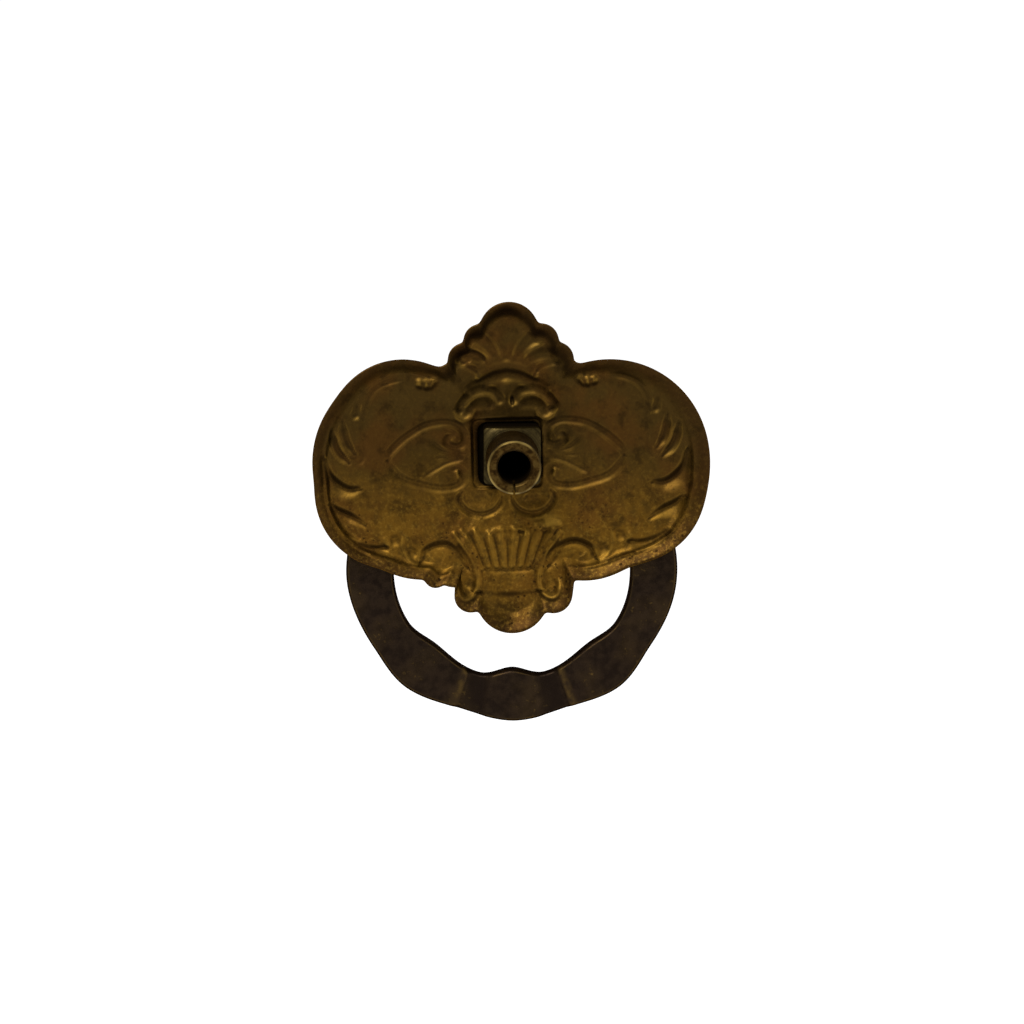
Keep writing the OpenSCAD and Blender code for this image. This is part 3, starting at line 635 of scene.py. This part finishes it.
def aged_stamped_brass(colours):
    """Stamped sheet brass, aged: an olive brown skin that turns golden on the lower half, partly as painted
    light, with russet patches, golden specks, dirt and painted shade in the creases, painted shade on what
    faces down and painted light on what faces up, a painted glint, and small dark pits"""
    material, tree = new_material("aged_stamped_brass")
    place = add(tree, "ShaderNodeTexCoord").outputs["Object"]
    wear_and_shading, under, rim, soil_and_shade = (add(tree, ATTRIBUTE, attribute_name=mark).outputs["Fac"] for mark in MARKS)
    height = add(tree, "ShaderNodeSeparateXYZ", [place]).outputs["Z"]
    # Patches of handling, clouds and mottling of the oxide, and the metal's grain, by size in mm. The real
    # grain is finer than a pixel, so it is drawn coarser.
    patches, clouds, mottle, grain = (
        add(tree, NOISE, {"Vector": place, "Scale": 1 / (size * MM), "Detail": detail, "Roughness": fall})
        for size, detail, fall in ((8, 2, 0.5), (3.2, 5, 0.65), (1.8, 4, 0.6), (0.65, 3, 0.6)))

    # Golden below the post, with an uneven border: painted light on the lower half, where the light from
    # above falls, and wear where the hand reaches
    level = add(tree, MATHS, [patches, 16 * MM, height], **TIMES_PLUS)
    low_half = add(tree, RANGE, [level, 11 * MM, -11 * MM], **SOFT)
    broken = add(tree, RANGE, [mottle, 0.3, 0.6, 0.45, 1], **SOFT)
    golden_and_lit = add(tree, MATHS, [low_half, broken], **TIMES)
    # Less of that painted light on the lobe at the bottom
    lobe = add(tree, RANGE, [height, -25.5 * MM, -30.5 * MM, 1, 0.5], **SOFT)
    golden_and_lit = add(tree, MATHS, [golden_and_lit, lobe], **TIMES)
    # Russet patches, and the brown of the wall
    russet = add(tree, RANGE, [patches, 0.42, 0.66, 0, 0.4], **SOFT)
    on_wall = add(tree, RANGE, [rim, 0.1, 0.85], **SOFT)
    dirty = add(tree, RANGE, [clouds, 0.35, 0.6, 0.4, 0.85])
    low_wall = add(tree, MATHS, [low_half, 0.8], **TIMES)
    dirty = add(tree, MATHS, [dirty, low_wall], **LARGER)
    browned = add(tree, MATHS, [on_wall, dirty], **TIMES)
    # Golden specks among darker clouds
    speck = add(tree, RANGE, [grain, 0.45, 0.8, 0, 0.32], **SOFT)
    often = add(tree, RANGE, [low_half, 0, 1, 0.15, 1])
    speck = add(tree, MATHS, [speck, often], **TIMES)
    dull = add(tree, RANGE, [clouds, 0.52, 0.32, 0, 0.5], **SOFT)
    # Ridges and the thin edge are rubbed bright, and what faces up in the ornament is lighter, as painted
    # light from above
    ridge_and_light = add(tree, RANGE, [wear_and_shading, 0.03, 0.3])
    painted_light_up = add(tree, RANGE, [under, -0.06, -0.5, 0, 0.2], **SOFT)
    ridge_and_light = add(tree, MATHS, [ridge_and_light, painted_light_up], **LARGER)
    edge = add(tree, RANGE, [rim, 1.4, 1.9, 0, 0.4], **SOFT)
    rubbed_and_lit = add(tree, MATHS, [ridge_and_light, edge], **LARGER)
    rubbed_and_lit = add(tree, MATHS, [rubbed_and_lit, broken], **TIMES)
    rubbed_and_lit = add(tree, MATHS, [rubbed_and_lit, speck], **LARGER)
    # Dirt and painted shade lie in the creases and about the post, painted shade on what faces down, and
    # pits in the lower field
    dirt_and_shade = add(tree, RANGE, [wear_and_shading, 0, -0.14, 0, 0.65], **SOFT)
    # Painted shade on what faces down
    painted_shade_down = add(tree, RANGE, [under, 0.05, 0.5, 0, 0.75], **SOFT)
    caked_and_shaded = add(tree, RANGE, [soil_and_shade, 0.1, 0.9, 0, 0.85])
    pit = add(tree, "ShaderNodeTexVoronoi", {"Vector": place, "Scale": 1 / (1.1 * MM)})
    ragged = add(tree, MATHS, [grain, 0.8, pit], **TIMES_PLUS)
    pit = add(tree, RANGE, [ragged, 0.68, 0.48, 0, 0.75], **SOFT)
    group = add(tree, RANGE, [patches, 0.46, 0.56], **SOFT)
    for share in (group, low_half):
        pit = add(tree, MATHS, [pit, share], **TIMES)
    for more in (painted_shade_down, caked_and_shaded, pit):
        dirt_and_shade = add(tree, MATHS, [dirt_and_shade, more], **LARGER)

    layers = ((golden_and_lit, colours.lit_gold), (russet, colours.russet), (browned, colours.rim),
              (dull, colours.grime_and_shade), (rubbed_and_lit, colours.worn), (dirt_and_shade, colours.grime_and_shade))
    # Duller where the dirt and the painted shade lie
    rough = add(tree, RANGE, [mottle, 0.25, 0.75, 0.4, 0.52])
    rough = add(tree, MATHS, [dirt_and_shade, 0.25, rough], **TIMES_PLUS, use_clamp=True)
    uneven = add(tree, MATHS, [grain, 0.2, mottle], **TIMES_PLUS)
    uneven = add(tree, MATHS, [pit, -0.6, uneven], **TIMES_PLUS)
    shade_metal(tree, colours.field, layers, rough, uneven, 0.5, 0.12, DULL_EDGE)
    return material


def turned_brass(colours):
    """Drawn square brass bar with a turned end: dull, with turning marks in rings, rubbed bright with a
    painted highlight at the tube's outer edge, and dark with painted shade in the gap and in the hole"""
    material, tree = new_material("turned_brass")
    place = add(tree, "ShaderNodeTexCoord").outputs["Object"]
    apart = add(tree, "ShaderNodeSeparateXYZ", [place])
    depth = apart.outputs["Y"]
    across = add(tree, "ShaderNodeCombineXYZ", {"X": apart.outputs["X"], "Z": apart.outputs["Z"]})
    radius = add(tree, "ShaderNodeVectorMath", [across], operation="LENGTH").outputs["Value"]
    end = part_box("post")[1].y
    square = SQUARE_END * MM

    # Turning marks are rings by radius on the faces, and by depth round the tube. Real ones lie about
    # 0.15 mm apart, less than a pixel, so they are drawn coarser.
    on_faces, on_tube = (
        add(tree, NOISE, {"W": reach, "Scale": 1 / (size * MM), "Detail": 3}, noise_dimensions="1D")
        for reach, size in ((radius, 0.5), (depth, 1.2)))
    past = add(tree, RANGE, [depth, square + 0.1 * MM, square + 0.4 * MM])
    marks = add(tree, MIX, {"Factor": past, "A": on_faces, "B": on_tube}, data_type="FLOAT")
    mottle = add(tree, NOISE, {"Vector": place, "Scale": 1 / (1.1 * MM), "Detail": 4, "Roughness": 0.6})
    marked = add(tree, RANGE, [marks, 0.4, 0.66, 0, 0.55], **SOFT)
    gilded = add(tree, RANGE, [mottle, 0.58, 0.36, 0, 0.12], **SOFT)
    gilded = add(tree, MATHS, [gilded, past], **TIMES)
    stained = add(tree, RANGE, [mottle, 0.45, 0.65, 0, 0.6], **SOFT)
    # Painted shade in the gap to the plate, which lies before the square end, down to the flange, and in
    # the hole past the mouth
    in_gap = add(tree, RANGE, [depth, square - 0.8 * MM, square - 3 * MM, 0, 0.95])
    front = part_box("backplate")[0].y
    behind_plate = add(tree, RANGE, [depth, front - 0.5 * MM, front - 0.2 * MM])
    in_gap = add(tree, MATHS, [in_gap, behind_plate], **TIMES)
    inside = add(tree, RANGE, [radius, 3.5 * MM, 3.1 * MM])
    behind = add(tree, RANGE, [depth, end - 0.1 * MM, end - 1.5 * MM])
    in_hole = add(tree, MATHS, [inside, behind], **TIMES)
    shade_in_gap_and_hole = add(tree, MATHS, [in_gap, in_hole], **LARGER)
    dark = add(tree, MATHS, [marked, stained], **LARGER)
    dark = add(tree, MATHS, [dark, shade_in_gap_and_hole], **LARGER)
    # The tube's outer edge is rubbed bright and carries a painted highlight, in places more than in others
    outside = add(tree, RANGE, [radius, 4.55 * MM, 4.95 * MM], **SOFT)
    at_end = add(tree, RANGE, [depth, end - 0.6 * MM, end - 0.2 * MM])
    patches = add(tree, NOISE, {"Vector": place, "Scale": 1 / (4 * MM), "Detail": 1})
    uneven_rub = add(tree, RANGE, [patches, 0.4, 0.58, 0.1, 0.9], **SOFT)
    rubbed_and_lit = add(tree, MATHS, [outside, at_end], **TIMES)
    rubbed_and_lit = add(tree, MATHS, [rubbed_and_lit, uneven_rub], **TIMES)
    layers = ((past, colours.ring), (gilded, colours.bright), (dark, colours.dark),
              (rubbed_and_lit, colours.bright))
    rough = add(tree, RANGE, [marks, 0.3, 0.7, 0.38, 0.52])
    rough = add(tree, MATHS, [shade_in_gap_and_hole, 0.5, rough], **TIMES_PLUS, use_clamp=True)
    uneven = add(tree, MATHS, [mottle, 0.4, marks], **TIMES_PLUS)
    shade_metal(tree, colours.brass, layers, rough, uneven, 0.5, 0.1)
    return material


def dark_cast_brass(colours):
    """Cast brass with a dark brown skin: slightly rough, mottled, blacker in the scoops with oxide and
    painted shade, with golden specks in groups, and rubbed to the metal along its edges and at the ends of
    the scoops"""
    material, tree = new_material("dark_cast_brass")
    place = add(tree, "ShaderNodeTexCoord").outputs["Object"]
    wear_and_shading = add(tree, ATTRIBUTE, attribute_name="wear_and_shading").outputs["Fac"]
    # By size in mm, the grain coarser than the real one so that it shows
    patches, mottle, grain = (
        add(tree, NOISE, {"Vector": place, "Scale": 1 / (size * MM), "Detail": detail, "Roughness": fall})
        for size, detail, fall in ((7, 2, 0.5), (1.6, 5, 0.6), (0.8, 3, 0.6)))

    mottled = add(tree, RANGE, [mottle, 0.35, 0.7], **SOFT)
    # Oxide and painted shade in the scoops
    scoop_oxide_and_shade = add(tree, RANGE, [wear_and_shading, 0, -0.6, 0, 0.8], **SOFT)
    tinge = add(tree, RANGE, [patches, 0.45, 0.7, 0, 0.05], **SOFT)
    speck = add(tree, RANGE, [grain, 0.57, 0.8, 0, 0.6], **SOFT)
    group = add(tree, RANGE, [patches, 0.48, 0.65, 0.03, 0.7], **SOFT)
    speck = add(tree, MATHS, [speck, group], **TIMES)
    broken = add(tree, RANGE, [mottle, 0.35, 0.65, 0.1, 1], **SOFT)
    edge = add(tree, RANGE, [wear_and_shading, 0.1, 0.9, 0, 0.5], **SOFT)
    worn = add(tree, MATHS, [edge, broken], **TIMES)
    worn = add(tree, MATHS, [worn, speck], **LARGER)
    layers = ((mottled, colours.shade), (scoop_oxide_and_shade, colours.shade), (tinge, colours.worn),
              (worn, colours.worn))
    rough = add(tree, RANGE, [mottle, 0.3, 0.7, 0.42, 0.54])
    rough = add(tree, MATHS, [worn, -0.12, rough], **TIMES_PLUS)
    uneven = add(tree, MATHS, [grain, 0.4, mottle], **TIMES_PLUS)
    shade_metal(tree, colours.bronze, layers, rough, uneven, 0.6, 0.15, DULL_EDGE)
    return material


# The bail

# Lobes and waists of the bar: angle from the bottom, and reach outwards from the ring's line there
OUTER = [(0, 4.65), (20, 3.9), (41, 4.95), (59, 4), (90, 4.6), (121, 4.15), (139, 4.6), (156, 3.3),
         (181, 3)]
# The same inwards, where a notch lies beside the bottom lobe
INNER = [(0, 5.6), (15, 3.9), (41, 5.3), (59, 4.25), *OUTER[4:]]
# Share of the thickness
THICK = [(0, 1), (17, .84), (41, 1), (59, .86), (90, 1), (121, .82), (139, 1), (156, .8), (181, .8)]
# Angles from the bottom at which the scoops begin and, on the left and on the right, end
SCOOP_FROM, SCOOP_LEFT, SCOOP_RIGHT = 9, 18.8, 22.5
# The bar's back lies more than this behind its middle
BACK_FROM = 1.2
EDGE_ROUNDING = 0.4
SECTION_POINTS = 48
BAIL_STATIONS = 420
PINTLE_STEPS = 64


def along(knots, angle):
    """An eased value between knots"""
    places, values = zip(*knots)
    k = min(np.searchsorted(places, angle, side="right") - 1, len(knots) - 2)
    t = float(smooth((angle - places[k]) / (places[k + 1] - places[k])))
    return values[k] + (values[k + 1] - values[k]) * t


def bail_section(out, inn, thick, sizes):
    """The bar's outline in its own plane: outwards from the ring's line and towards the drawer. Its back is
    flat and its front is broadly bevelled."""
    b, f, h = sizes["bevel"], sizes["front_bevel"], thick / 2
    return np.array([(out, h - 1.2 * b), (out - b, h), (b - inn, h), (-inn, h - 1.2 * b),
                     (-inn, -0.3 * h), (f - inn, -h), (out - f, -h), (out, -0.3 * h)])


def rounded(corners, rounding, count):
    """A closed outline of count points with its corners rounded off"""
    n = len(corners)
    each = count // n
    points, on_corner = [], []
    for k in range(n):
        before, here, after = corners[k - 1], corners[k], corners[(k + 1) % n]
        one, two = before - here, after - here
        r = min(rounding, 0.45 * np.linalg.norm(one), 0.45 * np.linalg.norm(two))
        start, end = here + one / np.linalg.norm(one) * r, here + two / np.linalg.norm(two) * r
        for i in range(each):
            t = i / (each - 1)
            points.append((1 - t) ** 2 * start + 2 * t * (1 - t) * here + t * t * end)
            on_corner.append(1 - abs(2 * t - 1))
    return np.array(points), np.array(on_corner)


def past_scoop(angle, across):
    """How far a point lies past the end of the scoop beside the bottom lobe, in degrees. The end is bowed
    on the left and straight on the right."""
    return -angle - SCOOP_LEFT - 4 * across ** 2 if angle < 0 else angle - SCOOP_RIGHT


def scoop(angle, across):
    """Share of the scoop"""
    return smooth((abs(angle) - SCOOP_FROM) / 4) * (1 - smooth((past_scoop(angle, across) + 2.8) / 2.8))


def crescent(angle, across):
    """Wear on the step at the scoop's end"""
    return 0.55 * float(bump(past_scoop(angle, across) / 4))


def bail_mesh(sizes, pivot):
    """Points, faces and wear of the bail's bar on the bench, with painted shade in the scoops"""
    half_w, half_h = sizes["ring_width"] / 2, sizes["ring_height"] / 2
    end_angle = 180 - math.degrees(math.asin(sizes["end_x"] / half_w))
    drop = -half_h * math.cos(math.radians(end_angle))
    points, wear_and_shading = [], []
    for k in range(BAIL_STATIONS + 1):
        angle = -end_angle + 2 * end_angle * k / BAIL_STATIONS
        a = math.radians(angle)
        middle = np.array([half_w * math.sin(a) + sizes["slide"], -drop - half_h * math.cos(a)])
        tangent = np.array([half_w * math.cos(a), half_h * math.sin(a)])
        outwards = np.array([tangent[1], -tangent[0]]) / np.linalg.norm(tangent)
        # Castings are never quite even
        out = along(OUTER, abs(angle)) + 0.05 * math.sin(3.1 * a + 0.5) + 0.03 * math.sin(11 * a)
        inn = along(INNER, abs(angle)) + 0.05 * math.sin(4.3 * a)
        thick = sizes["thickness"] * along(THICK, abs(angle))
        section, corner = rounded(bail_section(out, inn, thick, sizes), EDGE_ROUNDING, SECTION_POINTS)
        for (s, z), c in zip(section, corner):
            across = s / out
            if z > 0:
                z -= sizes["scoop"] * scoop(angle, across) * min(1, z / 1.5)
            x, y = middle + s * outwards
            points.append((x, y, pivot + z))
            worn = 0.6 * c if abs(z) > 0.5 else 0.3 * c
            if z > BACK_FROM:
                # In the scoops the mark turns negative, which paints oxide and shade there
                worn = max(worn, crescent(angle, across)) - 0.6 * scoop(angle, across)
            wear_and_shading.append(worn)
    return np.array(points), capped(BAIL_STATIONS + 1, len(section)), wear_and_shading


def lathe(outline, steps):
    """A turned solid about z, with flat ends, from an outline of (radius, z)"""
    points = []
    for r, z in outline:
        for k in range(steps):
            a = 2 * math.pi * k / steps
            points.append((r * math.cos(a), r * math.sin(a), z))
    return np.array(points), capped(len(outline), steps)


def settings_mm(group):
    """The lengths of a settings group, in millimetres"""
    names = [prop.identifier for prop in group.bl_rna.properties if prop.unit == "LENGTH"]
    return {name: getattr(group, name) / MM for name in names}


# Operators

class PULL_OT_backplate(bpy.types.Operator):
    """Makes the stamped sheet brass backplate with its ornament"""
    bl_idname = "drawer_pull.backplate"
    bl_label = "Backplate"

    def execute(self, context):
        group = context.scene.pull_plate
        points, faces, marks = plate_mesh(settings_mm(group), group.turn)
        verts = fitted(upright(points), "backplate")
        piece = new_piece("stamped_backplate", verts, faces, "mount_body", "backplate")
        for mark, values in zip(MARKS, marks.T):
            store(piece.data, mark, values)
        face_outwards(piece.data)
        set_smooth(piece.data, 50)
        piece.data.materials.append(aged_stamped_brass(group))
        return {"FINISHED"}


class PULL_OT_post(bpy.types.Operator):
    """Makes the square brass post with its turned tube end and its head"""
    bl_idname = "drawer_pull.post"
    bl_label = "Post"

    def execute(self, context):
        group = context.scene.pull_post
        piece = frame["nodes"]["post"].copy()
        piece.data = piece.data.copy()
        piece.name = "turned_post"
        piece.parent = None
        context.scene.collection.objects.link(piece)
        bm = bmesh.new()
        bm.from_mesh(piece.data)
        bmesh.ops.remove_doubles(bm, verts=bm.verts, dist=0.002 * MM)
        bmesh.ops.dissolve_limit(bm, angle_limit=math.radians(1), verts=bm.verts, edges=bm.edges)
        bm.to_mesh(piece.data)
        bm.free()
        bevel = piece.modifiers.new("worn_edges", "BEVEL")
        bevel.width = group.bevel
        bevel.segments = 3
        bevel.limit_method = "ANGLE"
        sharp = 32
        bevel.angle_limit = math.radians(sharp)
        apply_modifiers(piece)
        set_smooth(piece.data, sharp)
        piece.data.materials.clear()
        piece.data.materials.append(turned_brass(group))
        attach(piece, "mount_body")
        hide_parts("post")
        return {"FINISHED"}


class PULL_OT_bail(bpy.types.Operator):
    """Makes the cast bail with its lobed ring and its two pintles"""
    bl_idname = "drawer_pull.bail"
    bl_label = "Bail"

    def execute(self, context):
        group = context.scene.pull_bail
        sizes = settings_mm(group)
        pivot = frame["joints"][0]["pos_m"][1] / MM
        points, faces, wear_and_shading = bail_mesh(sizes, pivot)
        piece = new_piece("cast_bail", upright(points), faces, "bail", "bail")
        store(piece.data, "wear_and_shading", wear_and_shading)
        face_outwards(piece.data)
        r, tip, chamfer = sizes["pintle_r"], sizes["pintle_tip"], 0.3
        outline = [(r - chamfer, 0), (r, chamfer), (r, sizes["pintle_root"] - tip)]
        shape, pin_faces = lathe(outline, PINTLE_STEPS)
        for side in (-1, 1):
            pin_points = np.stack([sizes["slide"] + side * (tip + shape[:, 2]), shape[:, 0],
                                   pivot + shape[:, 1]], axis=1)
            pin = new_object("pintle", upright(pin_points).tolist(), pin_faces)
            face_outwards(pin.data)
            joined = piece.modifiers.new("pintle", "BOOLEAN")
            joined.operation = "UNION"
            joined.object = pin
            joined.solver = "EXACT"
            context.view_layer.update()
            apply_modifiers(piece)
            bpy.data.objects.remove(pin)
        set_smooth(piece.data, 40)
        piece.data.materials.append(dark_cast_brass(group))
        return {"FINISHED"}


class PULL_OT_stage(bpy.types.Operator):
    """Makes the floor, the lamps, the surroundings and the camera at the photo's angle"""
    bl_idname = "drawer_pull.stage"
    bl_label = "Stage"

    def execute(self, context):
        group = context.scene.pull_stage
        scene = context.scene
        scene.view_settings.view_transform = "Standard"
        make_floor(group)
        make_world(scene)
        # The key is a large soft lamp above and a little to the left, on the camera's side
        make_lamp(scene, "key", Vector((0.24, 0.55, 0.56)), 0.34, group.key)
        make_lamp(scene, "fill", Vector((-0.7, 0.5, 0.1)), 0.5, group.fill)
        make_camera(scene)
        return {"FINISHED"}


def seen_white(tree):
    """1 for the rays that see a white background: the camera's, and those off and through the object"""
    path = add(tree, "ShaderNodeLightPath")
    seen = add(tree, MATHS, [path.outputs["Is Camera Ray"], path.outputs["Is Glossy Ray"]], operation="ADD")
    return add(tree, MATHS, [seen, path.outputs["Is Transmission Ray"]], operation="ADD", use_clamp=True)


def make_floor(group):
    """A wide floor that keeps the pull's shadow and is white where it is lit"""
    half = 6.0
    corners = [(x * half, y * half, -group.floor_drop) for x, y in ((-1, -1), (1, -1), (1, 1), (-1, 1))]
    floor = new_object("floor", corners, [(0, 1, 2, 3)])
    material, tree = new_material("pale_floor")
    lift = add(tree, MATHS, [seen_white(tree), 0.65], **TIMES)
    pale = add(tree, "ShaderNodeBsdfDiffuse", [opaque(linear("f2f2f2"))])
    glow = add(tree, "ShaderNodeEmission", {"Color": (1, 1, 1, 1), "Strength": lift})
    both = add(tree, "ShaderNodeAddShader", [pale, glow])
    add(tree, "ShaderNodeOutputMaterial", [both])
    floor.data.materials.append(material)


def make_world(scene):
    """White to the camera and in reflections, and a soft even light otherwise"""
    world = bpy.data.worlds.new("surroundings")
    world.use_nodes = True
    scene.world = world
    tree = world.node_tree
    tree.nodes.clear()
    strength = add(tree, RANGE, [seen_white(tree), 0, 1, 0.45, 1])
    light = add(tree, "ShaderNodeBackground", {"Color": (1, 1, 1, 1), "Strength": strength})
    add(tree, "ShaderNodeOutputWorld", [light])


def make_lamp(scene, name, place, size, power):
    """A square soft lamp that faces the post"""
    light = bpy.data.lights.new(name, "AREA")
    light.size = size
    light.energy = power
    lamp = bpy.data.objects.new(name, light)
    lamp.location = place
    lamp.rotation_euler = (-place).to_track_quat("-Z", "Y").to_euler()
    scene.collection.objects.link(lamp)


def make_camera(scene):
    """The photo looks at the pull's back from above and a little to one side. The post's axis crosses
    the drawer's face on axis_row of its frame, which is frame_width metres wide there."""
    azimuth, elevation, distance = math.radians(178.5), math.radians(9), 0.9
    frame_width, sensor, rows, axis_row = 0.1966, 36.0, 1024, 455
    camera = bpy.data.cameras.new("camera")
    camera.sensor_width = sensor
    camera.lens = sensor * distance / frame_width
    camera.clip_start = 0.01
    camera.clip_end = 50
    eye = bpy.data.objects.new("camera", camera)
    level = math.cos(elevation)
    back = Vector((math.sin(azimuth) * level, -math.cos(azimuth) * level, math.sin(elevation)))
    aim = Vector((0, 0, -(rows / 2 - axis_row) / rows * frame_width / level))
    eye.location = aim + back * distance
    eye.rotation_euler = (-back).to_track_quat("-Z", "Y").to_euler()
    scene.collection.objects.link(eye)
    scene.camera = eye


class PULL_PT_panel(bpy.types.Panel):
    """The drawer pull's pieces and sizes"""
    bl_label = "Drawer Pull"
    bl_idname = "PULL_PT_panel"
    bl_space_type = "VIEW_3D"
    bl_region_type = "UI"
    bl_category = "Drawer Pull"

    def draw(self, context):
        for maker, name, settings in PARTS:
            box = self.layout.box()
            box.operator(maker.bl_idname)
            group = getattr(context.scene, name)
            for setting in settings.__annotations__:
                box.prop(group, setting)


# Each part's operator, the name under which the scene keeps its settings, and their group
PARTS = ((PULL_OT_backplate, "pull_plate", PlateSettings), (PULL_OT_post, "pull_post", PostSettings),
         (PULL_OT_bail, "pull_bail", BailSettings), (PULL_OT_stage, "pull_stage", StageSettings))


def register():
    for maker, name, settings in PARTS:
        bpy.utils.register_class(maker)
        bpy.utils.register_class(settings)
        setattr(bpy.types.Scene, name, PointerProperty(type=settings))
    bpy.utils.register_class(PULL_PT_panel)


def unregister():
    bpy.utils.unregister_class(PULL_PT_panel)
    for maker, name, settings in PARTS:
        delattr(bpy.types.Scene, name)
        bpy.utils.unregister_class(settings)
        bpy.utils.unregister_class(maker)


def main():
    register()
    for maker, _, _ in PARTS:
        group, name = maker.bl_idname.split(".")
        getattr(getattr(bpy.ops, group), name)()
    bpy.context.view_layer.update()


if __name__ == "__main__":
    main()
